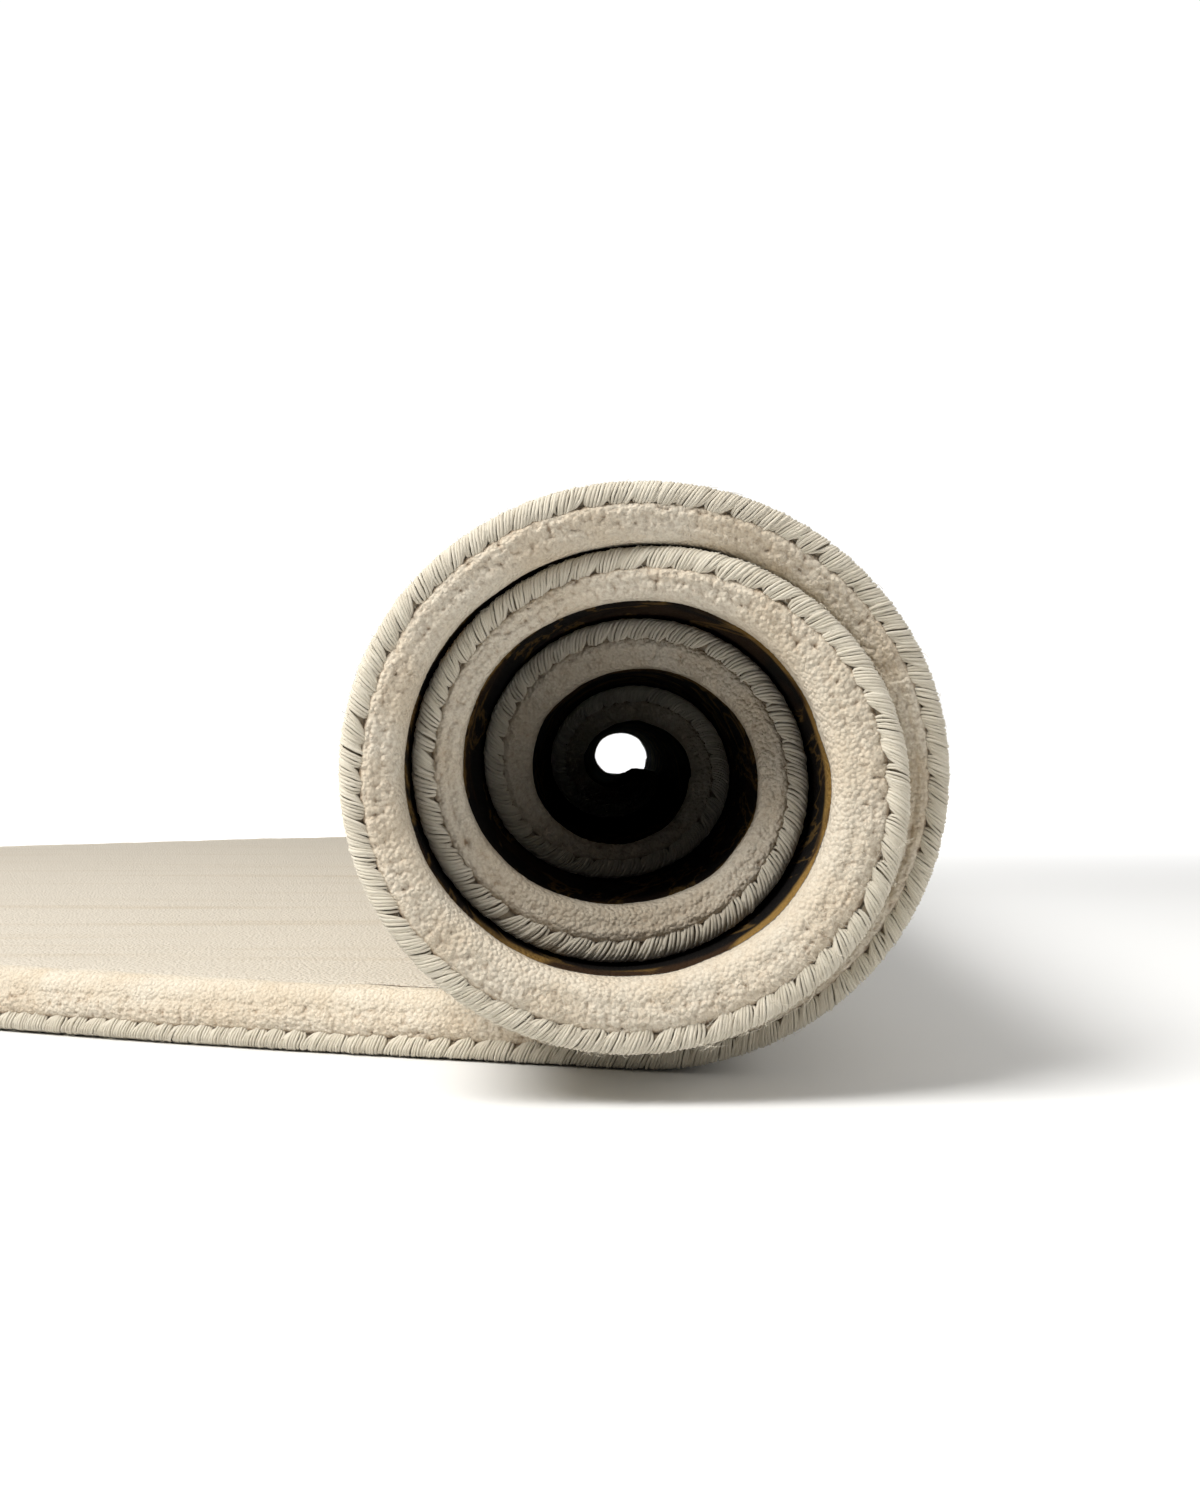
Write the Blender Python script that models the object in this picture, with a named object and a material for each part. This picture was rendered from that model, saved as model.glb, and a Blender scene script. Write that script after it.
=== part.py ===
"""A hand-tufted, pebble-shaped rug, rolled up pile side in, with its free end still flat on the floor.

Metres, +Z up. The roll's axis runs along Y, and the origin is on the floor at the middle of the whole object.
The rug is drawn flat first, in its own coordinates: u along it (0 at its widest), v across it, and w up from
its back. `Roll.place` then winds that flat rug onto the roll.
"""

import math

import bmesh
import bpy
import numpy as np
from mathutils import Vector

# The rug as cut, in its own flat coordinates.
HALF_WIDTH = 0.530  # at the widest line, u = 0
ROLLED_REACH = 0.910  # from the widest line to the end inside the roll
FREE_REACH = 0.930  # from the widest line to the free end
ROLLED_BLUNTNESS = 2.7  # superellipse exponents: 2 is an ellipse, more is squarer
FREE_BLUNTNESS = 1.8
TIP_CUT = 0.995  # the share of each reach at which the outline ends in a short straight

# Its thickness, from the floor side up.
FLAT_THICKNESS = 0.0180
CORE_THICKNESS = 0.0120  # the innermost turn, whose pile is pressed
TURN_GAP = 0.0008
BACKING_STRETCH_LINE = 0.002  # height in the backing that keeps its length when it bends

# The whipped yarn along the edge, and the step that it sits in, under the overhanging pile.
BEAD_WIDE = 0.0058
BEAD_TALL = 0.0054
BEAD_SIDES = 6
BEAD_FROM_EDGE = 0.0034  # its centreline, in from the rug's outline
BEAD_ABOVE_BACK = 0.0031
STEP_WIDE = 0.0070
STEP_TALL = 0.0063
PILE_SET_BACK = 0.0010
PILE_ROUNDING = 0.0030

# The wound form, seen from the front: turns counted anticlockwise from straight down, and the radius at which
# the rug's back lies.
AXIS_HEIGHT = 0.0773
WINDING = (
    # turn, radius
    (0.00, 0.0773),
    (0.25, 0.0781),
    (0.50, 0.0720),
    (0.75, 0.0712),
    (1.00, 0.0654),
    (1.25, 0.0652),
    (1.50, 0.0566),
    (1.75, 0.0555),
    (2.00, 0.0470),
    (2.25, 0.0456),
    (2.50, 0.0432),
    (2.75, 0.0428),
    (3.00, 0.0319),
    (3.25, 0.0323),
    (3.50, 0.0289),
    (3.75, 0.0283),
    (4.00, 0.0215),
    (4.25, 0.0190),
)
WIDEST_AT_TURN = 0.75  # where on the winding the rug's widest line lies
FACETS_PER_TURN = 24
FREE_END_STATIONS = 16
NEAR_TIP_SHARES = (0.0, 0.15, 0.45, 0.9)  # closer stations at the inner end, in shares of the wound spacing
FINE_STEPS = 4000

RUG_COLOUR = (0.56, 0.50, 0.39, 1.0)
YARN_COLOUR = (0.55, 0.51, 0.40, 1.0)


def radius_at(turn):
    """The radius of the rug's back at this turn: a Catmull-Rom curve through the winding's rows."""
    step = WINDING[1][0] - WINDING[0][0]
    radii = [row[1] for row in WINDING]
    radii = [radii[1], *radii, 2 * radii[-1] - radii[-2]]
    place = min(max(turn / step, 0.0), len(WINDING) - 1 - 1e-9)
    i = int(place)
    t = place - i
    before, start, end, after = radii[i : i + 4]
    bend = 2 * before - 5 * start + 4 * end - after
    twist = 3 * start - before - 3 * end + after
    return 0.5 * (2 * start + (end - before) * t + bend * t**2 + twist * t**3)


def clearance_over_floor(x):
    """How high the roll's underside is over the floor at x, where the rug's flat stretch passes below it."""
    reach = radius_at(1.0)
    if abs(x) >= reach:
        return AXIS_HEIGHT
    return AXIS_HEIGHT - math.sqrt(reach**2 - x**2)


def thickness_on_roll(turn):
    """The pile fills the room up to the next turn in, and the innermost turn has its own thickness."""
    last = WINDING[-1][0] - 1.0
    if turn > last:
        return CORE_THICKNESS
    return min(FLAT_THICKNESS, radius_at(turn) - radius_at(turn + 1.0) - TURN_GAP)


def half_width_at(u):
    """Half the rug's width at u, from two half superellipses that meet at the widest line."""
    reach, power = (FREE_REACH, FREE_BLUNTNESS) if u > 0 else (ROLLED_REACH, ROLLED_BLUNTNESS)
    return HALF_WIDTH * max(0.0, 1.0 - (abs(u) / reach) ** power) ** (1.0 / power)


class Roll:
    """The line of the rug's back in the XZ plane, by its length u from the rolled end to the free end."""

    def __init__(self):
        turns = np.linspace(WINDING[-1][0], 0.0, FINE_STEPS)
        radii = np.array([radius_at(t) for t in turns])
        angles = 2 * math.pi * turns
        x = radii * np.sin(angles)
        z = AXIS_HEIGHT - radii * np.cos(angles)
        thick = np.array([thickness_on_roll(t) for t in turns])

        flat_x = -np.linspace(0.0, FREE_REACH, FINE_STEPS)[1:]
        room = np.array([clearance_over_floor(v) for v in flat_x]) - TURN_GAP
        self.x = np.concatenate([x, flat_x])
        self.z = np.concatenate([z, np.zeros_like(flat_x)])
        self.thick = np.concatenate([thick, np.minimum(FLAT_THICKNESS, room)])
        # The flat stretch takes turns below zero, so that the turn falls all the way along.
        self.turn = np.concatenate([turns, flat_x / FREE_REACH])

        along_x, along_z = np.gradient(self.x), np.gradient(self.z)
        size = np.hypot(along_x, along_z)
        self.normal_x, self.normal_z = along_z / size, -along_x / size
        line_x = self.x + BACKING_STRETCH_LINE * self.normal_x
        line_z = self.z + BACKING_STRETCH_LINE * self.normal_z
        run = np.concatenate([[0.0], np.cumsum(np.hypot(np.diff(line_x), np.diff(line_z)))])
        self.u = run - np.interp(-WIDEST_AT_TURN, -self.turn, run)

        # Centre the whole object on the origin.
        flat_length = TIP_CUT * FREE_REACH - self.u_at_turn(0.0)
        self.axis_x = (flat_length - x.max()) / 2
        self.x += self.axis_x

    def u_at_turn(self, turn):
        return float(np.interp(-turn, -self.turn, self.u))

    def thickness(self, u):
        return float(np.interp(u, self.u, self.thick))

    def place(self, u, v, w):
        """Where the point (u, v, w) of the flat rug lies once it is rolled."""
        x = np.interp(u, self.u, self.x) + w * np.interp(u, self.u, self.normal_x)
        z = np.interp(u, self.u, self.z) + w * np.interp(u, self.u, self.normal_z)
        return Vector((float(x), float(v), float(z)))


def stations(roll):
    """The places along the rug where its outline has a point, from the rolled end to the free end."""
    inner_tip = -TIP_CUT * ROLLED_REACH
    outer_tip = TIP_CUT * FREE_REACH
    turns = np.arange(0, WINDING[-1][0], 1.0 / FACETS_PER_TURN)[::-1]
    wound = [roll.u_at_turn(t) for t in turns]
    tip_spacing = wound[1] - wound[0]
    near_tip = [inner_tip + tip_spacing * share for share in NEAR_TIP_SHARES]
    wound = [u for u in wound if u > near_tip[-1] + tip_spacing / 2]
    swing_from = math.asin(wound[-1] / FREE_REACH)
    swing_to = math.asin(outer_tip / FREE_REACH)
    free = FREE_REACH * np.sin(np.linspace(swing_from, swing_to, FREE_END_STATIONS)[1:])
    return near_tip + wound + list(free)


def outline(roll):
    """The rug's outline as a closed list of (u, v): up the back side (+Y) and home along the front (-Y)."""
    side = [(u, half_width_at(u)) for u in stations(roll)]
    return side + [(u, -v) for u, v in reversed(side)]


def inward(points):
    """For each outline point, the step that moves both edges meeting there 1 m inwards."""
    steps = []
    count = len(points)
    for i, here in enumerate(points):
        sides = []
        for start, end in ((points[i - 1], here), (here, points[(i + 1) % count])):
            run = Vector((end[0] - start[0], end[1] - start[1])).normalized()
            sides.append(Vector((run.y, -run.x)))
        middle = (sides[0] + sides[1]).normalized()
        steps.append(middle / middle.dot(sides[0]))
    return steps


def offset(points, steps, distance):
    return [(p[0] + s.x * distance, p[1] + s.y * distance) for p, s in zip(points, steps)]


def cloth_material(name, colour):
    material = bpy.data.materials.new(name)
    material.use_nodes = True
    shader = material.node_tree.nodes["Principled BSDF"]
    shader.inputs["Base Color"].default_value = colour
    shader.inputs["Roughness"].default_value = 0.95
    shader.inputs["Metallic"].default_value = 0.0
    return material


def mesh_object(name, work, material, collection):
    bmesh.ops.recalc_face_normals(work, faces=work.faces)
    mesh = bpy.data.meshes.new(name)
    work.to_mesh(mesh)
    work.free()
    made = bpy.data.objects.new(name, mesh)
    made.data.materials.append(material)
    collection.objects.link(made)
    return made


def bridge(work, first, second):
    """Quads between two closed rings of the same length."""
    count = len(first)
    for i in range(count):
        j = (i + 1) % count
        work.faces.new((first[i], first[j], second[j], second[i]))


def ladder(work, ring):
    """Closes a ring with strips between its two sides, which are mirror images in v."""
    last = len(ring) - 1
    for i in range(len(ring) // 2 - 1):
        work.faces.new((ring[i], ring[i + 1], ring[last - i - 1], ring[last - i]))


def make_rug(roll, edge, steps, collection):
    """Backing and pile in one solid, stepped along its edge on the back side."""
    work = bmesh.new()

    def ring(distance, height):
        """height(u) is the ring's height over the back."""
        return [work.verts.new(roll.place(u, v, height(u))) for u, v in offset(edge, steps, distance)]

    rings = [
        ring(STEP_WIDE, lambda u: 0.0),
        ring(STEP_WIDE, lambda u: STEP_TALL),
        ring(PILE_SET_BACK, lambda u: STEP_TALL),
        ring(PILE_SET_BACK, lambda u: roll.thickness(u) - PILE_ROUNDING),
        ring(PILE_SET_BACK + PILE_ROUNDING, roll.thickness),
    ]
    ladder(work, rings[0])
    for lower, upper in zip(rings, rings[1:]):
        bridge(work, lower, upper)
    ladder(work, rings[-1])
    return mesh_object("rug", work, cloth_material("rug_pile", RUG_COLOUR), collection)


def make_binding(roll, edge, steps, collection):
    """The whipped edge: one closed bead of yarn that follows the whole outline."""
    work = bmesh.new()
    rings = []
    for side in range(BEAD_SIDES):
        angle = 2 * math.pi * (side + 0.5) / BEAD_SIDES
        distance = BEAD_FROM_EDGE + BEAD_WIDE / 2 * math.cos(angle)
        height = BEAD_ABOVE_BACK + BEAD_TALL / 2 * math.sin(angle)
        line = offset(edge, steps, distance)
        rings.append([work.verts.new(roll.place(u, v, height)) for u, v in line])
    for side in range(BEAD_SIDES):
        bridge(work, rings[side], rings[(side + 1) % BEAD_SIDES])
    return mesh_object("binding", work, cloth_material("binding_yarn", YARN_COLOUR), collection)


def main():
    for obj in list(bpy.data.objects):
        bpy.data.objects.remove(obj, do_unlink=True)
    collection = bpy.data.collections.new("rolled_rug")
    bpy.context.scene.collection.children.link(collection)

    roll = Roll()
    edge = outline(roll)
    steps = inward(edge)
    make_rug(roll, edge, steps, collection)
    make_binding(roll, edge, steps, collection)


main()
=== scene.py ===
"""The looks of a hand-tufted rug, rolled up pile side in, with its free end still flat on the floor.

Metres, +Z up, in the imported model's frame. Like the model, the rug is drawn flat first: u along it (0 at its
widest), v across it and w up from its back. `Roll.place` then winds it. Most shapes follow the rug's edge, so
`Edge` gives them s along the edge and d in from it.
"""

import math

import bpy
import numpy as np
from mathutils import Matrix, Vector


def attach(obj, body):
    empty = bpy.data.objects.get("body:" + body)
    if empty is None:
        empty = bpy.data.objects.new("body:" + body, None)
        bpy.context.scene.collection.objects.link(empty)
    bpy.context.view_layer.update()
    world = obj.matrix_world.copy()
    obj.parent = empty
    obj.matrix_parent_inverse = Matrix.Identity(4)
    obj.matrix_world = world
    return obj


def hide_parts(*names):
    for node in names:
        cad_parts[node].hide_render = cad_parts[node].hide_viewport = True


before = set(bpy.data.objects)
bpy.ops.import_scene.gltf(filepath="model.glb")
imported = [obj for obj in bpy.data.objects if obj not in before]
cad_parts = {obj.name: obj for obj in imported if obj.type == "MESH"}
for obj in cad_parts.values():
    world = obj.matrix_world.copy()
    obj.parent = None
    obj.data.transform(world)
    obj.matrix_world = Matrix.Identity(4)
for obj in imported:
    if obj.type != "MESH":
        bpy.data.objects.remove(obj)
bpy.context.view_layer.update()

# The rug and its winding, as in the model.
HALF_WIDTH = 0.530
ROLLED_REACH = 0.910
FREE_REACH = 0.930
ROLLED_BLUNTNESS = 2.7
FREE_BLUNTNESS = 1.8
TIP_CUT = 0.995
FLAT_THICKNESS = 0.0180
CORE_THICKNESS = 0.0120
TURN_GAP = 0.0008
BACKING_STRETCH_LINE = 0.002
AXIS_HEIGHT = 0.0773
WINDING_STEP = 0.25
WINDING_RADII = (
    0.0773, 0.0781, 0.0720, 0.0712,
    0.0654, 0.0652, 0.0566, 0.0555,
    0.0470, 0.0456, 0.0432, 0.0428,
    0.0319, 0.0323, 0.0289, 0.0283,
    0.0215, 0.0190,
)  # fmt: skip
LAST_TURN = WINDING_STEP * (len(WINDING_RADII) - 1)
WIDEST_AT_TURN = 0.75
FINE_STEPS = 6000

# The edge: how far it strays from its true line, and over what length.
EDGE_WANDER = 0.0007
EDGE_WANDER_LENGTH = 0.031
EDGE_RIPPLE = 0.0005
EDGE_RIPPLE_LENGTH = 0.047
WANDER_FADES_AT = 0.030

# The pile's edge, a rounded shoulder over the whipped yarn.
PILE_FOOT = 0.0050  # height over the back at which the pile shows above the yarn
PILE_FACE_INSET = 0.0011
PILE_SHOULDER = 0.0052  # radius of the shoulder on full pile
PILE_TOP_RUN = 0.0100
PILE_BULGE = 0.0009

# The pile's relief: packed tufts, finer grains on them, and slow lumps and waves. Sizes, then heights.
TUFT_SIZE, TUFT_HEIGHT = 0.0019, 0.00140
GRAIN_SIZE, GRAIN_HEIGHT = 0.0011, 0.00045
LUMP_SIZE, LUMP_HEIGHT = 0.0046, 0.00035
WAVE_LENGTH, WAVE_DEPTH, WAVE_HEIGHT = 0.013, 0.011, 0.00035

# The cloth: columns in from the edge as (d, how far below the full pile) and (d, how far over the back).
CLOTH_TOP_RIM = ((0.0060, 0.0028), (0.0105, 0.0016), (0.0150, 0.0009), (0.0190, 0.0), (0.0300, 0.0))
CLOTH_BACK_RIM = ((0.0040, 0.0010), (0.0075, 0.0), (0.0120, 0.0), (0.0190, 0.0), (0.0300, 0.0))
CLOTH_MIDDLE_COLUMNS = 18
CLOTH_TIP_GAP = 0.0010
CLOTH_FINE_ROWS, CLOTH_COARSE_ROWS = 0.0042, 0.0085
CLOTH_COARSE_FROM_U = 0.50

# The whipped yarn. Its path is in mm: d in from the edge, w over the back, from the back round to the pile.
WHIP_PATH = (
    (6.8, 0.70), (4.7, 0.46), (2.6, 0.52), (1.1, 1.15),
    (0.40, 2.3), (0.35, 3.6), (0.75, 4.8), (1.5, 5.6), (2.9, 6.1),
)  # fmt: skip
STRAND_RADIUS = 0.00046
STITCH_WIDTH = 0.0062  # one needle hole's strands
STITCH_SLANT = 0.0050

# The near edge is modelled most finely where the camera is close to it.
FINE_FROM_U = -0.36
FINE_TO_U = 0.53

NEAR_GRID, INNER_GRID, FREE_GRID, FAR_GRID = 0.00050, 0.00085, 0.00085, 0.00125
NEAR_PITCH, INNER_PITCH, FREE_PITCH, FAR_PITCH = 0.00075, 0.00100, 0.00088, 0.00120
NEAR_STRAND_SIDES, STRAND_SIDES = 6, 4

# Loose fibres, with longer ones under the front of the roll.
NEAR_HAIRS, FAR_HAIRS = 2600, 500
HAIR_LENGTH, LONG_HAIR_LENGTH = 0.0030, 0.0070
LONG_HAIRS_AROUND_U = -0.104

CAMERA_SETBACK = 0.441  # from the rug's nearest edge
CAMERA_HEIGHT = 0.0856
CAMERA_LEFT_OF_AXIS = 0.0068
CAMERA_AIM_LEFT = 9 / 1875  # how far the view turns left and down for each metre ahead
CAMERA_AIM_DOWN = 5 / 1875
SENSOR = 30.0
LENS = 37.5

# The studio: a white room behind the rug, grey behind the camera, and softboxes placed from the roll's near
# end.
ROOM_BACK = 1.06
ROOM_FRONT = 0.14
ROOM_FADE = (-0.20, 0.50)  # from front to back, in the Y of the direction looked in
FLOOR_HALF_SIZE = 7.0
FLOOR_BELOW = 0.0002
SOFTBOXES = (
    # name, place, size, watts, colour
    ("key", (-1.00, -0.64, 1.45), (1.0, 1.0), 55.0, (1.0, 0.99, 0.975)),
    ("fill", (1.30, -0.38, 0.75), (0.8, 0.8), 6.0, (1.0, 1.0, 1.0)),
)


# ---------------------------------------------------------------- noise


def hash01(a, b, seed):
    """A repeatable number from 0 to 1 for each pair of whole numbers."""
    n = a.astype(np.int64) * 374761393 + b.astype(np.int64) * 668265263 + seed * 974634777
    n = n & 0x7FFFFFFF
    n = ((n ^ (n >> 13)) * 1274126177) & 0x7FFFFFFF
    return ((n ^ (n >> 16)) & 0xFFFFF) / 0xFFFFF


def smooth_noise(x, y, seed):
    """Rolling hills from -1 to 1, one hill or hollow in each unit square."""
    left, low = np.floor(x), np.floor(y)
    across, up = x - left, y - low
    across = across * across * (3 - 2 * across)
    up = up * up * (3 - 2 * up)
    bottom = hash01(left, low, seed) * (1 - across) + hash01(left + 1, low, seed) * across
    top = hash01(left, low + 1, seed) * (1 - across) + hash01(left + 1, low + 1, seed) * across
    return 2 * (bottom * (1 - up) + top * up) - 1


def tufts(x, y, size, seed):
    """Packed round tufts about `size` across: 1 on top of one, 0 in the cracks between them."""
    column, row = np.floor(x / size), np.floor(y / size)
    nearest = np.full(x.shape, 9.0)
    for i in (-1, 0, 1):
        for j in (-1, 0, 1):
            a, b = column + i, row + j
            middle_x = (a + 0.5 + 0.8 * (hash01(a, b, seed) - 0.5)) * size
            middle_y = (b + 0.5 + 0.8 * (hash01(a, b, seed + 1) - 0.5)) * size
            nearest = np.minimum(nearest, np.hypot(x - middle_x, y - middle_y) / size)
    return np.sqrt(np.clip(1 - (nearest / 0.9) ** 2, 0, 1))


def ease(value, start, end):
    t = np.clip((value - start) / (end - start), 0, 1)
    return t * t * (3 - 2 * t)


# ---------------------------------------------------------------- the rug's form


def radius_at(turn):
    """The radius of the rug's back at this turn: a Catmull-Rom curve through the winding's radii."""
    radii = np.array([WINDING_RADII[1], *WINDING_RADII, 2 * WINDING_RADII[-1] - WINDING_RADII[-2]])
    spot = np.clip(turn / WINDING_STEP, 0.0, len(WINDING_RADII) - 1 - 1e-9)
    i = spot.astype(int)
    t = spot - i
    before, start, end, after = (radii[i + k] for k in range(4))
    bend = 2 * before - 5 * start + 4 * end - after
    twist = 3 * start - before - 3 * end + after
    return 0.5 * (2 * start + (end - before) * t + bend * t**2 + twist * t**3)


class Roll:
    """The line of the rug's back in the XZ plane, by its length u."""

    def __init__(self):
        turns = np.linspace(LAST_TURN, 0.0, FINE_STEPS)
        radii = radius_at(turns)
        angles = 2 * math.pi * turns
        layer = radii - radius_at(turns + 1.0) - TURN_GAP
        layer = np.where(turns > LAST_TURN - 1.0, CORE_THICKNESS, np.minimum(FLAT_THICKNESS, layer))

        flat_x = -np.linspace(0.0, FREE_REACH, FINE_STEPS)[1:]
        over = float(radius_at(np.array([1.0]))[0])
        drop = np.sqrt(np.clip(over**2 - flat_x**2, 0, None))
        room = np.where(-flat_x < over, AXIS_HEIGHT - drop, AXIS_HEIGHT) - TURN_GAP
        self.x = np.concatenate([radii * np.sin(angles), flat_x])
        self.z = np.concatenate([AXIS_HEIGHT - radii * np.cos(angles), np.zeros_like(flat_x)])
        self.thick = np.concatenate([layer, np.minimum(FLAT_THICKNESS, room)])
        self.turn = np.concatenate([turns, flat_x / FREE_REACH])

        along_x, along_z = np.gradient(self.x), np.gradient(self.z)
        size = np.hypot(along_x, along_z)
        self.normal_x, self.normal_z = along_z / size, -along_x / size
        line_x = self.x + BACKING_STRETCH_LINE * self.normal_x
        line_z = self.z + BACKING_STRETCH_LINE * self.normal_z
        run = np.concatenate([[0.0], np.cumsum(np.hypot(np.diff(line_x), np.diff(line_z)))])
        self.u = run - np.interp(-WIDEST_AT_TURN, -self.turn, run)

        flat_length = TIP_CUT * FREE_REACH - float(np.interp(0.0, -self.turn, self.u))
        self.axis_x = (flat_length - self.x.max()) / 2
        self.x += self.axis_x

    def thickness(self, u):
        return np.interp(u, self.u, self.thick)

    def place(self, u, v, w):
        """Where the points (u, v, w) of the flat rug lie once it is rolled."""
        x = np.interp(u, self.u, self.x) + w * np.interp(u, self.u, self.normal_x)
        z = np.interp(u, self.u, self.z) + w * np.interp(u, self.u, self.normal_z)
        return np.stack(np.broadcast_arrays(x, v, z), axis=-1)


class Edge:
    """The rug's outline on one side, -1 near the camera and 1 away from it: s runs from the rolled tip."""

    def __init__(self, roll, side):
        self.roll = roll
        self.side = side
        swing = np.linspace(0, math.pi / 2, FINE_STEPS)
        rise, fall = np.sin(swing), np.abs(np.cos(swing))
        rolled_u = -ROLLED_REACH * fall ** (2 / ROLLED_BLUNTNESS)
        rolled_h = HALF_WIDTH * rise ** (2 / ROLLED_BLUNTNESS)
        free_u = FREE_REACH * rise ** (2 / FREE_BLUNTNESS)
        free_h = HALF_WIDTH * fall ** (2 / FREE_BLUNTNESS)
        self.u = np.concatenate([rolled_u, free_u[1:]])
        self.half = np.concatenate([rolled_h, free_h[1:]])
        steps = np.hypot(np.diff(self.u), np.diff(self.half))
        self.s = np.concatenate([[0.0], np.cumsum(steps)])
        self.length = float(self.s[-1])
        even = np.linspace(0, self.length, 2 * FINE_STEPS)
        self.u, self.half = np.interp(even, self.s, self.u), np.interp(even, self.s, self.half)
        self.s = even
        tangent_u, tangent_h = np.gradient(self.u), np.gradient(self.half)
        size = np.hypot(tangent_u, tangent_h)
        self.tangent_u, self.tangent_h = tangent_u / size, tangent_h / size

    def s_at(self, u):
        return float(np.interp(u, self.u, self.s))

    def u_at(self, s):
        return np.interp(s, self.s, self.u)

    def flat(self, s, d):
        """(u, v) of the points d in from the edge."""
        u = np.interp(s, self.s, self.u)
        half = np.interp(s, self.s, self.half)
        tangent_u = np.interp(s, self.s, self.tangent_u)
        tangent_h = np.interp(s, self.s, self.tangent_h)
        stray = smooth_noise(s / EDGE_WANDER_LENGTH, 0 * s + 0.5, 11 + self.side)
        stray = stray + 0.4 * smooth_noise(s / (0.3 * EDGE_WANDER_LENGTH), 0 * s + 0.5, 21 + self.side)
        d = d + EDGE_WANDER * stray * np.clip(1 - d / WANDER_FADES_AT, 0, 1)
        return u + tangent_h * d, self.side * (half - tangent_u * d)

    def place(self, s, d, w):
        u, v = self.flat(s, d)
        lift = EDGE_RIPPLE * (1 + smooth_noise(s / EDGE_RIPPLE_LENGTH, 0 * s + 0.5, 31 + self.side))
        return self.roll.place(u, v, w + lift * np.clip(1 - d / WANDER_FADES_AT, 0, 1) * 0.5)

    def settle(self, local):
        """The placed points, in rows, of any array of (s, d, w)."""
        rows = local.reshape(-1, 3)
        return self.place(rows[:, 0], rows[:, 1], rows[:, 2])

    def labels(self, s, d):
        """What the cloth materials read: u and v, and how far in from the edge."""
        u, v = self.flat(s, d)
        return np.stack(np.broadcast_arrays(u, v, np.maximum(d, 0)), axis=-1)


# ---------------------------------------------------------------- meshes


def grid_faces(rows, columns, first=0):
    corner = (np.arange(rows - 1)[:, None] * columns + np.arange(columns - 1)).ravel() + first
    return np.stack([corner, corner + 1, corner + columns + 1, corner + columns], axis=1)


def add_attribute(mesh, name, values):
    values = np.asarray(values, np.float32)
    kind = "FLOAT_VECTOR" if values.ndim == 2 else "FLOAT"
    attribute = mesh.attributes.new(name, kind, "POINT")
    attribute.data.foreach_set("vector" if values.ndim == 2 else "value", values.ravel())


def facing_out(points, faces, outward):
    """The faces, turned round if their normals mostly point against `outward`."""
    a, b, c = (points[faces[:, k]] for k in (0, 1, 2))
    normals = np.cross(b - a, c - a)
    agree = float((normals * outward[faces[:, 0]]).sum())
    return faces if agree > 0 else faces[:, ::-1]


def make_piece(name, points, faces, materials, slot, face_materials=None, **attributes):
    mesh = bpy.data.meshes.new(name)
    mesh.vertices.add(len(points))
    mesh.vertices.foreach_set("co", np.asarray(points, np.float32).ravel())
    mesh.loops.add(faces.size)
    mesh.loops.foreach_set("vertex_index", np.ascontiguousarray(faces, np.int32).ravel())
    mesh.polygons.add(len(faces))
    mesh.polygons.foreach_set("loop_start", np.arange(0, faces.size, faces.shape[1], dtype=np.int32))
    for material in materials:
        mesh.materials.append(material)
    if face_materials is not None:
        mesh.polygons.foreach_set("material_index", np.asarray(face_materials, np.int32))
    for label, values in attributes.items():
        add_attribute(mesh, label, values)
    mesh.update(calc_edges=True)
    mesh.validate()
    mesh.shade_smooth()
    piece = bpy.data.objects.new(name, mesh)
    bpy.context.scene.collection.objects.link(piece)
    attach(piece, "root")
    return piece


def tubes(paths, radii, sides):
    """Closed tubes along paths in (s, d, w): their points as (path, step, side, 3), and their faces."""
    count, steps, _ = paths.shape
    ahead = np.gradient(paths, axis=1)
    ahead /= np.linalg.norm(ahead, axis=2, keepdims=True)
    along_edge = np.array([1.0, 0.0, 0.0])
    wide = along_edge - (ahead @ along_edge)[..., None] * ahead
    wide /= np.linalg.norm(wide, axis=2, keepdims=True)
    tall = np.cross(ahead, wide)
    angles = 2 * math.pi * (np.arange(sides) + 0.5) / sides
    ring = np.cos(angles)[:, None] * wide[:, :, None] + np.sin(angles)[:, None] * tall[:, :, None]
    points = paths[:, :, None] + radii[..., None, None] * ring

    one = []
    for step in range(steps - 1):
        for k in range(sides):
            here, beside = step * sides + k, step * sides + (k + 1) % sides
            one.append((here, beside, beside + sides, here + sides))
    for base, turn in ((0, -1), ((steps - 1) * sides, 1)):
        for k in range(0, sides - 2, 2):
            one.append(tuple(base + m for m in (0, k + 1, k + 2, (k + 3) % sides))[::turn])
    starts = (np.arange(count) * steps * sides)[:, None, None]
    faces = (np.array(one)[None] + starts).reshape(-1, 4)
    return points, faces


# ---------------------------------------------------------------- materials


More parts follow.
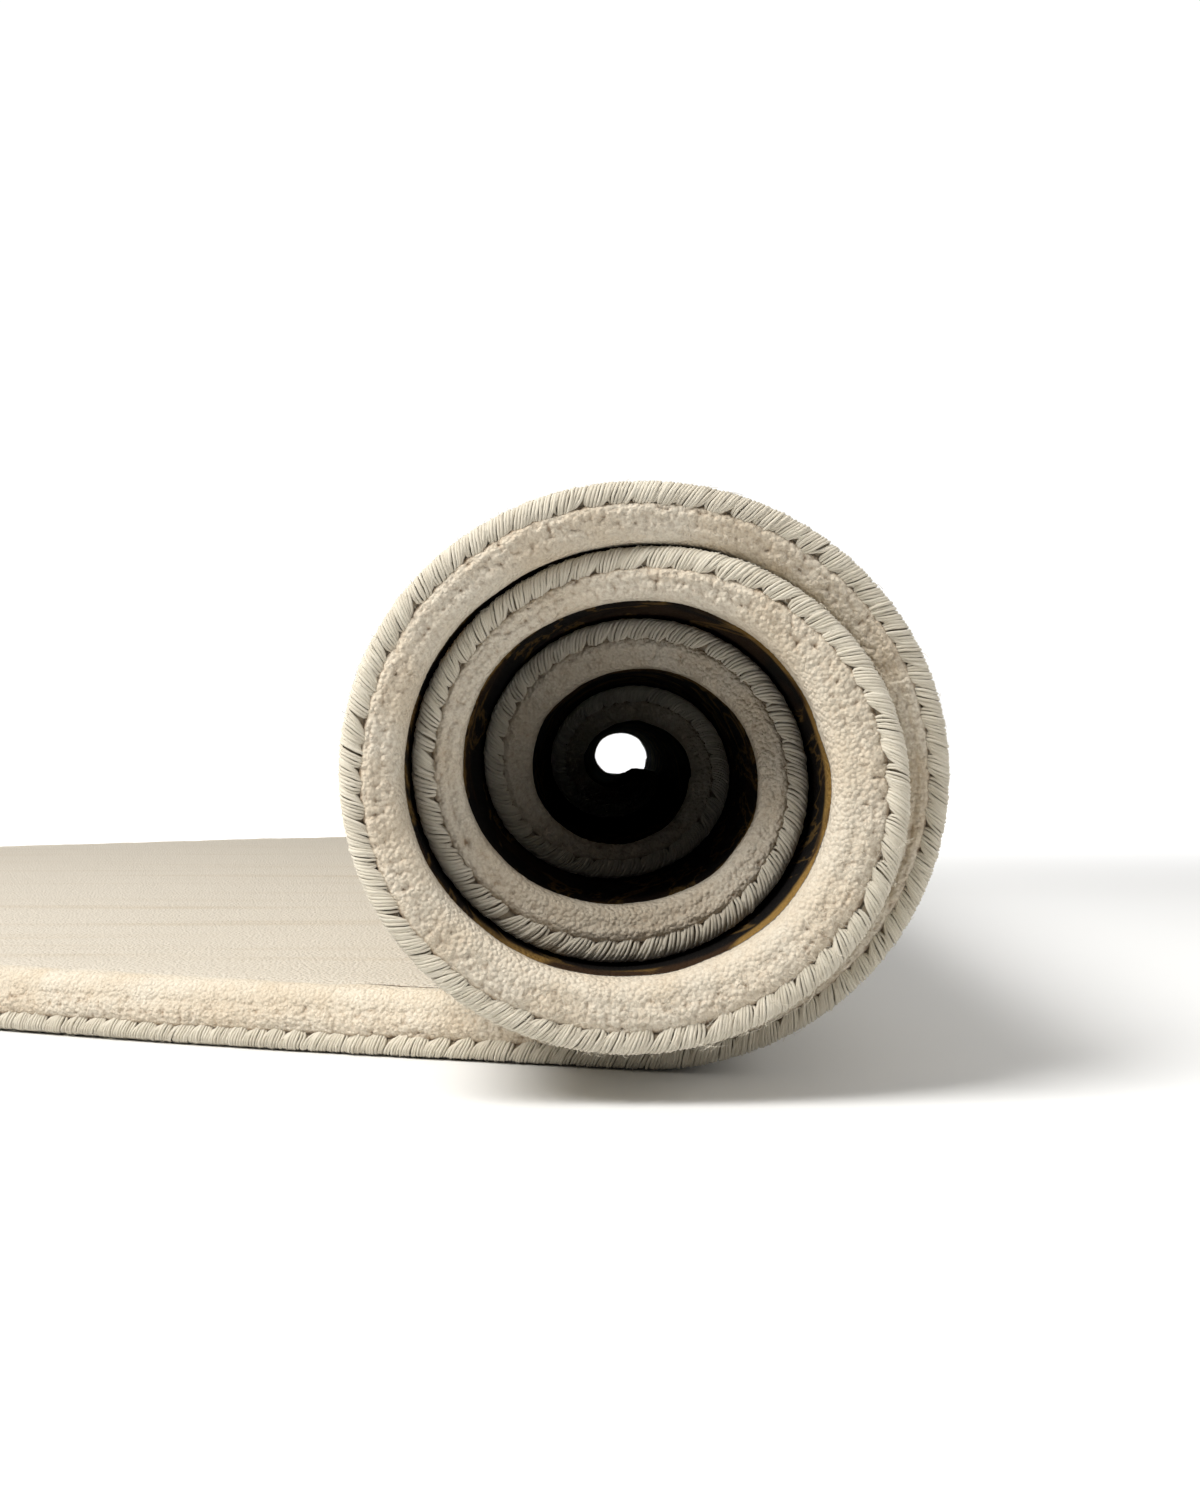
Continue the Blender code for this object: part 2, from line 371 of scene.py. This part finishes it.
class Nodes:
    """A short way to build one material's node tree."""

    def __init__(self, name):
        self.material = bpy.data.materials.new(name)
        self.material.use_nodes = True
        self.tree = self.material.node_tree
        self.shader = self.tree.nodes["Principled BSDF"]

    def add(self, kind, inputs=None, **settings):
        node = self.tree.nodes.new(kind)
        for key, value in settings.items():
            setattr(node, key, value)
        for key, value in (inputs or {}).items():
            self.feed(node.inputs[key], value)
        return node

    def feed(self, socket, value):
        if isinstance(value, bpy.types.NodeSocket):
            self.tree.links.new(value, socket)
        else:
            socket.default_value = value

    def label(self, name):
        return self.add("ShaderNodeAttribute", attribute_name=name)

    def math(self, operation, *values):
        node = self.add("ShaderNodeMath", operation=operation)
        for socket, value in zip(node.inputs, values):
            self.feed(socket, value)
        return node.outputs[0]

    def noise(self, vector, scale, detail=3.0, roughness=0.6, distortion=0.0):
        wanted = {"Vector": vector, "Scale": scale, "Detail": detail, "Roughness": roughness}
        wanted["Distortion"] = distortion
        return self.add("ShaderNodeTexNoise", wanted).outputs["Fac"]

    def stretched(self, vector, scale):
        return self.add("ShaderNodeVectorMath", {0: vector, 1: scale}, operation="MULTIPLY").outputs[0]

    def between(self, value, low, high, start=0.0, end=1.0):
        wanted = {"Value": value, "From Min": low, "From Max": high, "To Min": start, "To Max": end}
        return self.add("ShaderNodeMapRange", wanted, interpolation_type="SMOOTHSTEP").outputs[0]

    def mix(self, share, first, second):
        node = self.add("ShaderNodeMix", data_type="RGBA")
        for socket, value in ((node.inputs[0], share), (node.inputs[6], first), (node.inputs[7], second)):
            self.feed(socket, value)
        return node.outputs[2]

    def bump(self, height, strength, distance, normal=None):
        node = self.add("ShaderNodeBump", {"Height": height, "Strength": strength, "Distance": distance})
        if normal is not None:
            self.feed(node.inputs["Normal"], normal)
        return node.outputs[0]

    def finish(self, colour, normal, roughness=0.95, sheen=0.0):
        wanted = {"Base Color": colour, "Roughness": roughness, "Sheen Weight": sheen}
        wanted |= {"Sheen Roughness": 0.6, "Specular IOR Level": 0.12, "Normal": normal}
        for key, value in wanted.items():
            self.feed(self.shader.inputs[key], value)
        return self.material


def srgb(red, green, blue):
    def linear(value):
        value /= 255
        return value / 12.92 if value <= 0.04045 else ((value + 0.055) / 1.055) ** 2.4

    return (linear(red), linear(green), linear(blue), 1.0)


WHITE = (1.0, 1.0, 1.0, 1.0)
CREAM = srgb(210, 201, 184)
CREAM_WARM = srgb(204, 191, 170)
CREAM_TOP = srgb(202, 196, 183)
STREAK_TAN = srgb(186, 174, 153)
# Painted shade: the tan that the cracks between the cream tufts are darkened towards.
CRACK_PAINTED_SHADE = srgb(148, 122, 96)
FLOOR_PALE = srgb(223, 223, 222)
FLOOR_WARM = srgb(222, 218, 212)
FLOOR_GREY = srgb(178, 178, 178)
FLOOR_GLOW = 0.75
FIELD_BLACK = srgb(17, 15, 14)
FIELD_BROWN = srgb(58, 40, 24)
FIELD_GOLD = srgb(148, 116, 62)
YARN_LIGHT = srgb(216, 209, 193)
YARN_SHADE = srgb(190, 181, 163)
# Painted shade: the dark the yarn goes to where strands end under the pile, between stitches, and on the core.
YARN_PAINTED_SHADE = srgb(122, 106, 84)
CANVAS = srgb(205, 196, 176)
CANVAS_DARK = srgb(150, 138, 116)


def pile_material():
    """Cut wool pile: a cream border and free end, and a black field marbled with brown and gold."""
    n = Nodes("cut_pile")
    place = n.add("ShaderNodeTexCoord").outputs["Object"]
    flat = n.label("flat").outputs["Vector"]
    parts = n.add("ShaderNodeSeparateXYZ", {0: flat}).outputs
    along, inset = parts[0], parts[2]
    crack = n.label("crack").outputs["Fac"]

    patches = n.between(n.noise(place, 55.0), 0.35, 0.7)
    cream = n.mix(patches, CREAM, CREAM_WARM)
    cream = n.mix(n.between(inset, 0.006, 0.016), cream, CREAM_TOP)
    streaks = n.between(n.noise(n.stretched(flat, (3.0, 46.0, 0.0)), 1.0, 4.0), 0.50, 0.72)
    cream = n.mix(n.math("MULTIPLY", streaks, 0.6), cream, STREAK_TAN)

    wavy = n.noise(n.stretched(flat, (9.0, 9.0, 0.0)), 1.0, 4.0, 0.62, 1.4)
    browns = n.between(wavy, 0.50, 0.64)
    folded = n.noise(n.stretched(flat, (14.0, 6.0, 0.0)), 1.0, 5.0, 0.6, 2.2)
    vein = n.math("ABSOLUTE", n.math("SUBTRACT", folded, 0.5))
    veins = n.between(vein, 0.0, 0.030, 1.0, 0.0)
    field = n.mix(n.math("MULTIPLY", browns, 0.8), FIELD_BLACK, FIELD_BROWN)
    field = n.mix(n.math("MULTIPLY", veins, 0.45), field, FIELD_GOLD)

    unevenness = n.noise(place, 120.0, 3.0)
    ragged_inset = n.math("ADD", inset, n.math("MULTIPLY", n.math("SUBTRACT", unevenness, 0.5), 0.006))
    inside = n.between(ragged_inset, 0.0125, 0.0140)
    rim = n.math("MULTIPLY", inside, n.between(ragged_inset, 0.0150, 0.0185, 1.0, 0.0))
    # The gold band is wide on one stretch of the second turn only.
    wide = n.math("MULTIPLY", n.between(along, -0.30, -0.23), n.between(along, -0.08, -0.03, 1.0, 0.0))
    band = n.math("MULTIPLY", wide, n.between(ragged_inset, 0.021, 0.027, 1.0, 0.0))
    rim = n.math("MAXIMUM", rim, n.math("MULTIPLY", inside, band))
    bays = n.noise(n.stretched(flat, (8.0, 8.0, 0.0)), 1.0, 4.0)
    shore = n.math("MULTIPLY", n.math("SUBTRACT", bays, 0.5), 0.03)
    rolled = n.between(n.math("ADD", along, shore), 0.352, 0.366, 1.0, 0.0)
    flecks = n.noise(n.stretched(flat, (26.0, 26.0, 0.0)), 1.0, 2.0)
    rim_colour = n.mix(n.between(flecks, 0.48, 0.56), FIELD_GOLD, FIELD_BROWN)
    field = n.mix(rim, field, rim_colour)
    line = n.math("MULTIPLY", n.between(inset, 0.0098, 0.0106), n.between(inset, 0.0150, 0.0158, 1.0, 0.0))
    line = n.math("MULTIPLY", line, n.between(along, 0.412, 0.424, 0.8, 0.0))
    dyed = n.math("MAXIMUM", n.math("MULTIPLY", inside, rolled), line)
    colour = n.mix(dyed, cream, field)

    # Painted shade: the cracks between tufts are darkened, towards tan on the cream and black in the field,
    # and a fine random grain is mixed in.
    grain = n.noise(place, 1500.0, 2.0)
    grain_and_crack_shade = n.math("ADD", crack, n.between(grain, 0.3, 0.62, 0.30, -0.05))
    grain_and_crack_shade = n.math("MAXIMUM", n.math("MINIMUM", grain_and_crack_shade, 1.0), 0.0)
    brown_crack = n.mix(dyed, CRACK_PAINTED_SHADE, FIELD_BLACK)
    colour = n.mix(n.math("MULTIPLY", grain_and_crack_shade, 0.78), colour, brown_crack)

    cells = n.add("ShaderNodeTexVoronoi", {"Vector": place, "Scale": 900.0}, feature="F1").outputs["Distance"]
    normal = n.bump(n.math("SUBTRACT", 1.0, cells), 0.85, 0.0007)
    normal = n.bump(n.noise(place, 2600.0, 2.0), 0.35, 0.0003, normal)
    return n.finish(colour, normal)


def canvas_material():
    """The backing: a plain-woven cotton cloth, glued over the tufts."""
    n = Nodes("backing_canvas")
    flat = n.label("flat").outputs["Vector"]
    place = n.add("ShaderNodeTexCoord").outputs["Object"]
    parts = n.add("ShaderNodeSeparateXYZ", {0: flat}).outputs
    thread = 2 * math.pi / 0.0022
    warp = n.math("SINE", n.math("MULTIPLY", parts[0], thread))
    weft = n.math("SINE", n.math("MULTIPLY", parts[1], thread))
    weave = n.math("MULTIPLY", warp, weft)
    slub = n.noise(n.stretched(flat, (60.0, 900.0, 0.0)), 1.0, 3.0)
    worn = n.between(n.noise(place, 9.0, 5.0), 0.35, 0.7)
    colour = n.mix(n.math("MULTIPLY", worn, 0.5), CANVAS, CANVAS_DARK)
    colour = n.mix(n.between(weave, -1.0, 1.0, 0.35, 0.0), colour, CANVAS_DARK)
    colour = n.mix(n.between(slub, 0.45, 0.75, 0.0, 0.4), colour, CREAM)
    normal = n.bump(weave, 0.5, 0.0004)
    return n.finish(colour, normal)


def yarn_material(name, light, shade, painted_shade_share):
    """Overcast wool yarn: fine fibres along each strand, and each strand a little different."""
    n = Nodes(name)
    yarn = n.label("yarn").outputs["Vector"]
    place = n.add("ShaderNodeTexCoord").outputs["Object"]
    own = n.add("ShaderNodeSeparateXYZ", {0: yarn}).outputs[2]
    fibres = n.noise(n.stretched(yarn, (5200.0, 300.0, 900.0)), 1.0, 3.0)
    colour = n.mix(n.between(own, 0.0, 1.0, 0.0, 0.55), light, shade)
    colour = n.mix(n.between(fibres, 0.40, 0.70, 0.45, 0.0), colour, shade)
    soiled = n.between(n.noise(place, 70.0, 4.0), 0.45, 0.75, 0.0, 0.5)
    colour = n.mix(soiled, colour, shade)
    # Painted shade: the yarn darkens in its recesses, where the strands end under the pile, between stitches,
    # and on the core.
    crack = n.label("crack").outputs["Fac"]
    colour = n.mix(n.math("MULTIPLY", crack, painted_shade_share), colour, YARN_PAINTED_SHADE)
    normal = n.bump(fibres, 0.55, 0.0002)
    return n.finish(colour, normal, 0.85, 0.08)


def floor_material():
    """Pale studio paint that glows behind the rug and is greyer out in front of what the camera sees."""
    n = Nodes("floor_paint")
    place = n.add("ShaderNodeTexCoord").outputs["Object"]
    ahead = n.add("ShaderNodeSeparateXYZ", {0: place}).outputs[1]
    faint = n.between(n.noise(place, 6.0, 3.0), 0.3, 0.7, 0.0, 0.05)
    paint = n.mix(faint, FLOOR_PALE, FLOOR_WARM)
    paint = n.mix(n.between(ahead, -1.10, -0.80, 1.0, 0.0), paint, FLOOR_GREY)
    glow = n.between(ahead, 0.10, 1.10, 0.0, FLOOR_GLOW)
    n.feed(n.shader.inputs["Emission Color"], WHITE)
    n.feed(n.shader.inputs["Emission Strength"], glow)
    return n.finish(paint, n.bump(n.noise(place, 220.0, 2.0), 0.05, 0.0005), 0.8, 0.0)


# ---------------------------------------------------------------- pieces


def make_cloth(roll, near, pile, canvas):
    """Backing and pile in one closed sheet. The pile's edge and the whipped yarn cover its rim."""
    coarse_from = near.s_at(CLOTH_COARSE_FROM_U)
    tip_rows = np.array([1, 3, 7]) * CLOTH_TIP_GAP
    # The first and last rows lie close to the tips, or the cloth would leave a notch open there.
    s = np.concatenate([
        tip_rows,
        np.arange(0.015, coarse_from, CLOTH_FINE_ROWS),
        np.arange(coarse_from, near.length - 0.012, CLOTH_COARSE_ROWS),
        near.length - tip_rows[::-1],
    ])  # fmt: skip

    def side(rim, heights):
        """Half of one face: the rim from the edge inwards, then the middle as far as v = 0."""
        columns = []
        for (d, _), height in zip(rim, heights):
            u, v = near.flat(s, np.full_like(s, d))
            columns.append((u, -v, height, np.full_like(s, d)))
        u, half, height, _ = columns[-1]
        for k in range(1, CLOTH_MIDDLE_COLUMNS // 2 + 1):
            share = 1 - 2 * k / CLOTH_MIDDLE_COLUMNS
            inset = rim[-1][0] + half * (1 - share)
            columns.append((u, half * share, height, inset))
        return columns

    thick = roll.thickness(near.u_at(s))
    top = side(CLOTH_TOP_RIM, [thick - drop for _, drop in CLOTH_TOP_RIM])
    back = side(CLOTH_BACK_RIM, [np.zeros_like(s) + lift for _, lift in CLOTH_BACK_RIM])
    loop = []
    for face in (top, back):
        front = [(u, -half, w, d) for u, half, w, d in face]
        rear = [(u, half, w, d) for u, half, w, d in face[-2::-1]]
        loop.append(front + rear)
    loop = loop[0] + loop[1][::-1]
    around = len(loop)
    per_face = around // 2

    points = np.stack([roll.place(u, v, w) for u, v, w, _ in loop], axis=1)
    labels = np.stack([np.stack(np.broadcast_arrays(u, v, d), axis=-1) for u, v, _, d in loop], axis=1)
    rows = len(s)
    start = (np.arange(rows - 1)[:, None] * around + np.arange(around)).ravel()
    beside = (np.arange(rows - 1)[:, None] * around + (np.arange(around) + 1) % around).ravel()
    walls = np.stack([start, beside, beside + around, start + around], axis=1)
    caps = []
    for base in (0, (rows - 1) * around):
        for k in range(per_face - 1):
            quad = [base + k, base + k + 1, base + around - 2 - k, base + around - 1 - k]
            caps.append(quad[::-1] if base == 0 else quad)
    faces = np.concatenate([walls, np.array(caps)])
    points = points.reshape(-1, 3)
    a, b, c, d = (points[faces[:, k]] for k in range(4))
    if (np.cross(b, c) * a).sum() + (np.cross(c, d) * a).sum() < 0:
        faces = faces[:, ::-1]
    column = np.tile(np.arange(around), rows - 1)
    on_back = (column >= per_face) & (column < around - 1)
    face_materials = np.concatenate([on_back.astype(int), np.zeros(len(caps), int)])
    return make_piece(
        "rug_cloth", points, faces, [pile, canvas], "rug_pile", face_materials,
        flat=labels.reshape(-1, 3), crack=np.full(len(points), 0.15),
    )  # fmt: skip


def make_pile_edge(name, edge, start, end, spacing, pile):
    """The pile's tufted edge: a side face over the yarn, a soft shoulder, and a strip of the top."""
    roll = edge.roll
    rows = max(4, round((end - start) / spacing))
    s = np.linspace(start, end, rows)[:, None]
    thick = roll.thickness(edge.u_at(s))
    shoulder = np.minimum(PILE_SHOULDER, 0.45 * (thick - PILE_FOOT))
    rise = thick - shoulder - PILE_FOOT
    side_columns = max(4, round(0.0078 / spacing))
    arc_columns = max(4, round(0.0080 / spacing))
    top_columns = max(4, round(0.7 * PILE_TOP_RUN / spacing))

    t = np.arange(side_columns) / side_columns
    bulge = PILE_BULGE * np.sin(math.pi * np.clip(t * 1.1, 0, 1))
    side_d = PILE_FACE_INSET - bulge + 0 * s
    side_w = PILE_FOOT + rise * t
    swing = np.linspace(0, math.pi / 2, arc_columns)
    arc_d = PILE_FACE_INSET + shoulder * (1 - np.cos(swing))
    arc_w = thick - shoulder + shoulder * np.sin(swing)
    run = np.arange(1, top_columns + 1) / top_columns
    top_d = PILE_FACE_INSET + shoulder + PILE_TOP_RUN * run
    top_w = thick - 0.0009 * run**3 + 0 * s
    d = np.concatenate([side_d, arc_d, top_d], axis=1)
    w = np.concatenate([side_w, arc_w, top_w], axis=1)
    out_d = np.concatenate([-np.ones(side_columns), -np.cos(swing), np.zeros(top_columns)])
    out_w = np.concatenate([np.zeros(side_columns), np.sin(swing), np.ones(top_columns)])

    steps = np.hypot(np.diff(d, axis=1), np.diff(w, axis=1))
    run_up = np.concatenate([0 * s, np.cumsum(steps, axis=1)], axis=1)
    along = np.broadcast_to(s, d.shape)
    seed = 100 + edge.side
    nubs = tufts(along, run_up, TUFT_SIZE, seed)
    grains = tufts(along, run_up, GRAIN_SIZE, seed + 5)
    lumps = smooth_noise(along / LUMP_SIZE, run_up / LUMP_SIZE, seed + 9)
    waves = smooth_noise(along / WAVE_LENGTH, run_up / WAVE_DEPTH, seed + 13)
    rough = 1 - 0.84 * ease(run_up, 0.0050, 0.0110)
    push = rough * (TUFT_HEIGHT * (nubs - 0.7) + LUMP_HEIGHT * lumps)
    push = push + GRAIN_HEIGHT * (grains - 0.6) * (0.5 + 0.5 * rough) + WAVE_HEIGHT * waves
    foot = 1 - ease(run_up, 0.0, 0.0013)
    push = push - 0.0006 * foot
    # Painted shade: darker in the cracks between tufts and grains, and along the pile's foot just over the
    # yarn.
    crack = rough * (1 - nubs) ** 1.5 * 1.1 + 0.5 * (1 - grains) ** 1.6 * (0.35 + 0.65 * rough)
    crack = np.clip(crack + 0.75 * foot, 0, 1)

    points = edge.place(along, d + out_d * push, w + out_w * push).reshape(-1, 3)
    outside = edge.place(along, d + out_d * (push + 0.001), w + out_w * (push + 0.001)).reshape(-1, 3)
    faces = facing_out(points, grid_faces(*d.shape), outside - points)
    return make_piece(
        name, points, faces, [pile], "rug_pile",
        flat=edge.labels(along, d).reshape(-1, 3), crack=crack.ravel(),
    )  # fmt: skip


def make_whipping(name, edge, start, end, pitch, sides, yarn):
    """Overcast stitches: each is a group of strands from one needle hole, fanned out over the edge."""
    seed = 200 + edge.side
    random = np.random.default_rng(seed + round(1000 * start))
    groups = round((end - start) / STITCH_WIDTH)
    middle = start + (np.arange(groups) + 0.5) * (end - start) / groups
    middle = middle + random.normal(0, 0.00045, groups)
    count = max(5, round(STITCH_WIDTH / pitch))
    share = (np.arange(count) + 0.5) / count - 0.5
    width = (end - start) / groups
    fan = random.uniform(0.22, 0.58, groups)[:, None, None]
    slant = (STITCH_SLANT * random.uniform(0.8, 1.25, groups))[:, None, None]
    stray = random.normal(0, 0.00010, (groups, count, 1))
    crown = 1 - (2 * share) ** 2

    path = np.array(WHIP_PATH) / 1000
    steps = len(path)
    q = np.linspace(0, 1, steps)
    lean = ease(q, 0.0, 1.15)
    gather = ease(q, 0.64, 1.0)
    total = groups * count
    spread = (1 + (fan - 1) * gather) * width * 1.14
    s = middle[:, None, None] - slant * lean + share[None, :, None] * spread + stray
    over = ease(q, 0.3, 1.0)
    reach = random.normal(0, 0.00022, (groups, count))[..., None] + (0.0013 * crown)[None, :, None]
    d = path[:, 0] + 0 * s
    w = path[:, 1] + over * (reach - 0.0006)
    uneven = random.normal(0, 0.00009, (groups, count, 1))
    puff = (0.00030 * crown[None, :, None] + uneven) * np.sin(math.pi * q)
    outward = np.array([path[:, 0] - 0.0034, path[:, 1] - 0.0031])
    outward /= np.linalg.norm(outward, axis=0)
    d, w = d + outward[0] * puff, w + outward[1] * puff
    wriggle = random.normal(0, 0.00006, s.shape)
    paths = np.stack([s + wriggle, d, w], axis=-1).reshape(total, steps, 3)
    radii = STRAND_RADIUS * (pitch / NEAR_PITCH) * random.uniform(0.86, 1.14, (total, 1))
    radii = radii * np.linspace(1.0, 0.88, steps)
    rings, faces = tubes(paths, radii, sides)
    centres = np.broadcast_to(paths[:, :, None], rings.shape)

    points = edge.settle(rings)
    faces = facing_out(points, faces, points - edge.settle(centres))
    around = np.broadcast_to(np.arange(sides) * STRAND_RADIUS, rings.shape[:3])
    along = np.broadcast_to((q * 0.014)[None, :, None], rings.shape[:3])
    own = np.broadcast_to(random.uniform(0, 1, total)[:, None, None], rings.shape[:3])
    # Painted shade: strands darken towards their ends under the pile, and the outer strands of each stitch
    # darken where they cross the edge.
    ends = np.broadcast_to((ease(q, 0.86, 1.0) * 0.9)[None, :, None], rings.shape[:3])
    sides_of_stitch = np.abs(2 * share) ** 6
    gap = np.broadcast_to(np.tile(sides_of_stitch, groups)[:, None, None], rings.shape[:3])
    crack = np.clip(ends + 0.35 * gap * np.broadcast_to(over[None, :, None], rings.shape[:3]), 0, 1)
    labels = np.stack([around + own * 7.0, along, own], axis=-1).reshape(-1, 3)
    return make_piece(name, points, faces, [yarn], "binding_yarn", yarn=labels, crack=crack.ravel())


def make_bead(edges, yarn):
    """The yarn's core, which fills what little shows between the strands. It is painted darker, as shade
    between them.
    """
    spacing, sides = 0.0035, 8
    near, far = edges
    count = round(near.length / spacing)
    s = np.linspace(0.002, near.length - 0.002, count)
    rings = []
    for k in range(sides):
        angle = 2 * math.pi * (k + 0.5) / sides
        d = np.full(count, 0.0034 + 0.0026 * math.cos(angle))
        w = np.full(count, 0.0031 + 0.0024 * math.sin(angle))
        there, back = near.place(s, d, w), far.place(s[::-1], d, w)
        rings.append(np.concatenate([there, back]))
    points = np.stack(rings, axis=1)
    total = 2 * count
    centre = points.mean(axis=1, keepdims=True)
    outward = (points - centre).reshape(-1, 3)
    points = points.reshape(-1, 3)
    row, column = np.arange(total)[:, None], np.arange(sides)
    beside, ahead = (column + 1) % sides, (row + 1) % total
    corners = ((row, column), (row, beside), (ahead, beside), (ahead, column))
    faces = np.stack([a * sides + b for a, b in corners], -1)
    faces = facing_out(points, faces.reshape(-1, 4), outward)
    size = len(points)
    labels = np.stack([points[:, 0], points[:, 1], np.full(size, 0.5)], axis=-1)
    # Painted shade: the core is darkened all along.
    crack = np.full(size, 0.8)
    return make_piece("binding_core", points, faces, [yarn], "binding_yarn", yarn=labels, crack=crack)


def make_fuzz(name, edge, spans, count, yarn, seed):
    """Loose wool fibres: thin bent hairs that stand off the edge. A span is (from s, to s, share, longest)."""
    random = np.random.default_rng(seed)
    steps, sides = 5, 4
    spans = np.array(spans)
    share = spans[:, 2] / spans[:, 2].sum()
    which = random.choice(len(spans), count, p=share)
    s = random.uniform(spans[which, 0], spans[which, 1])
    longest = spans[which, 3]
    turn = random.uniform(0.5, 1.75, count) * math.pi  # where round the yarn each hair starts
    on_pile = random.uniform(0, 1, count) < 0.40
    thick = edge.roll.thickness(edge.u_at(s))
    d = np.where(on_pile, PILE_FACE_INSET - 0.0003, 0.0034 + 0.0034 * np.cos(turn))
    w = np.where(on_pile, random.uniform(PILE_FOOT, thick - 0.002), 0.0031 + 0.0030 * np.sin(turn))
    start = np.stack([s, d, w], axis=-1)
    away = np.where(on_pile[:, None], [[0.0, -1.0, 0.0]], np.stack([0 * s, np.cos(turn), np.sin(turn)], -1))
    heading = away + random.normal(0, 0.65, (count, 3))
    heading /= np.linalg.norm(heading, axis=1, keepdims=True)
    curl = random.normal(0, 0.75, (count, 3))
    length = longest * random.uniform(0.25, 1.0, count) ** 1.6
    t = np.linspace(0, 1, steps)[None, :, None]
    paths = start[:, None] + length[:, None, None] * (t * heading[:, None] + t**2 * curl[:, None] * 0.6)
    paths[..., 2] = np.maximum(paths[..., 2], -0.0001)
    radii = random.uniform(0.00004, 0.00008, (count, 1)) * np.linspace(1, 0.6, steps)
    rings, faces = tubes(paths, radii, sides)
    centres = np.broadcast_to(paths[:, :, None], rings.shape)

    points = edge.settle(rings)
    points[:, 2] = np.maximum(points[:, 2], 0.00005)
    faces = facing_out(points, faces, points - edge.settle(centres))
    labels = np.stack([points[:, 0], points[:, 1], 0 * points[:, 0] + 0.3], axis=-1)
    return make_piece(name, points, faces, [yarn], "binding_yarn", yarn=labels, crack=np.zeros(len(points)))


# ---------------------------------------------------------------- stage


def make_floor():
    size = FLOOR_HALF_SIZE
    corners = [(-size, -size, 0.0), (size, -size, 0.0), (size, size, 0.0), (-size, size, 0.0)]
    mesh = bpy.data.meshes.new("floor")
    mesh.from_pydata(corners, [], [(0, 1, 2, 3)])
    mesh.materials.append(floor_material())
    floor = bpy.data.objects.new("floor", mesh)
    bpy.context.scene.collection.objects.link(floor)
    floor.location.z = -FLOOR_BELOW
    return floor


def soft_light(name, place, target, size, power, colour):
    data = bpy.data.lights.new(name, "AREA")
    data.shape = "RECTANGLE"
    data.size, data.size_y = size
    data.energy = power
    data.color = colour
    light = bpy.data.objects.new(name, data)
    light.location = place
    aim(light, target)
    bpy.context.scene.collection.objects.link(light)


def aim(obj, target):
    direction = Vector(target) - Vector(obj.location)
    obj.rotation_euler = direction.to_track_quat("-Z", "Y").to_euler()


def set_camera(roll):
    data = bpy.data.cameras.new("camera")
    data.sensor_fit = "AUTO"
    data.sensor_width = SENSOR
    data.lens = LENS
    data.clip_start = 0.01
    camera = bpy.data.objects.new("camera", data)
    place = (roll.axis_x - CAMERA_LEFT_OF_AXIS, -HALF_WIDTH - CAMERA_SETBACK, CAMERA_HEIGHT)
    camera.location = place
    aim(camera, (place[0] - CAMERA_AIM_LEFT, place[1] + 1.0, place[2] - CAMERA_AIM_DOWN))
    bpy.context.scene.collection.objects.link(camera)
    bpy.context.scene.camera = camera


def set_light(roll):
    world = bpy.data.worlds.new("studio")
    world.use_nodes = True
    tree = world.node_tree
    direction = tree.nodes.new("ShaderNodeTexCoord").outputs["Generated"]
    parts = tree.nodes.new("ShaderNodeSeparateXYZ")
    tree.links.new(direction, parts.inputs[0])
    level = tree.nodes.new("ShaderNodeMapRange")
    level.interpolation_type = "SMOOTHSTEP"
    tree.links.new(parts.outputs[1], level.inputs["Value"])
    level.inputs["From Min"].default_value, level.inputs["From Max"].default_value = ROOM_FADE
    level.inputs["To Min"].default_value = ROOM_FRONT
    level.inputs["To Max"].default_value = ROOM_BACK
    tree.links.new(level.outputs[0], tree.nodes["Background"].inputs["Strength"])
    tree.nodes["Background"].inputs["Color"].default_value = WHITE
    bpy.context.scene.world = world
    middle = (roll.axis_x, -HALF_WIDTH, AXIS_HEIGHT)
    for name, place, size, power, colour in SOFTBOXES:
        where = tuple(m + p for m, p in zip(middle, place))
        soft_light(name, where, middle, size, power, colour)
    bpy.context.scene.view_settings.view_transform = "Standard"


def main():
    roll = Roll()
    near, far = Edge(roll, -1), Edge(roll, 1)
    pile, canvas = pile_material(), canvas_material()
    yarn = yarn_material("whipped_yarn", YARN_LIGHT, YARN_SHADE, 0.50)
    # The core is a darker copy of the yarn: painted shade between the strands.
    painted_shade_core_yarn = yarn_material("yarn_core_painted_shade", YARN_SHADE, YARN_PAINTED_SHADE, 0.35)
    hair = yarn_material("loose_fibre", YARN_LIGHT, YARN_SHADE, 0.2)

    cloth = make_cloth(roll, near, pile, canvas)
    fine_from, fine_to = near.s_at(FINE_FROM_U), near.s_at(FINE_TO_U)
    edges = [
        make_pile_edge("pile_edge_near", near, fine_from, fine_to, NEAR_GRID, pile),
        make_pile_edge("pile_edge_inner", near, 0.0, fine_from, INNER_GRID, pile),
        make_pile_edge("pile_edge_free", near, fine_to, near.length, FREE_GRID, pile),
        make_pile_edge("pile_edge_far", far, 0.0, far.length, FAR_GRID, pile),
    ]
    whipping = [
        make_whipping("whipped_near", near, fine_from, fine_to, NEAR_PITCH, NEAR_STRAND_SIDES, yarn),
        make_whipping("whipped_inner", near, 0.0, fine_from, INNER_PITCH, STRAND_SIDES, yarn),
        make_whipping("whipped_free", near, fine_to, near.length, FREE_PITCH, STRAND_SIDES, yarn),
        make_whipping("whipped_far", far, 0.0, far.length, FAR_PITCH, STRAND_SIDES, yarn),
    ]
    core = make_bead((near, far), painted_shade_core_yarn)
    under = near.s_at(LONG_HAIRS_AROUND_U)
    spans = [(fine_from, fine_to, 4.0, HAIR_LENGTH), (under - 0.09, under + 0.05, 2.0, LONG_HAIR_LENGTH)]
    fuzz = [
        make_fuzz("fuzz_near", near, spans, NEAR_HAIRS, hair, 5),
        make_fuzz("fuzz_far", far, [(0.0, far.length, 1.0, HAIR_LENGTH)], FAR_HAIRS, hair, 6),
    ]
    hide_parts("rug")
    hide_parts("binding")
    floor = make_floor()
    set_camera(roll)
    set_light(roll)


main()
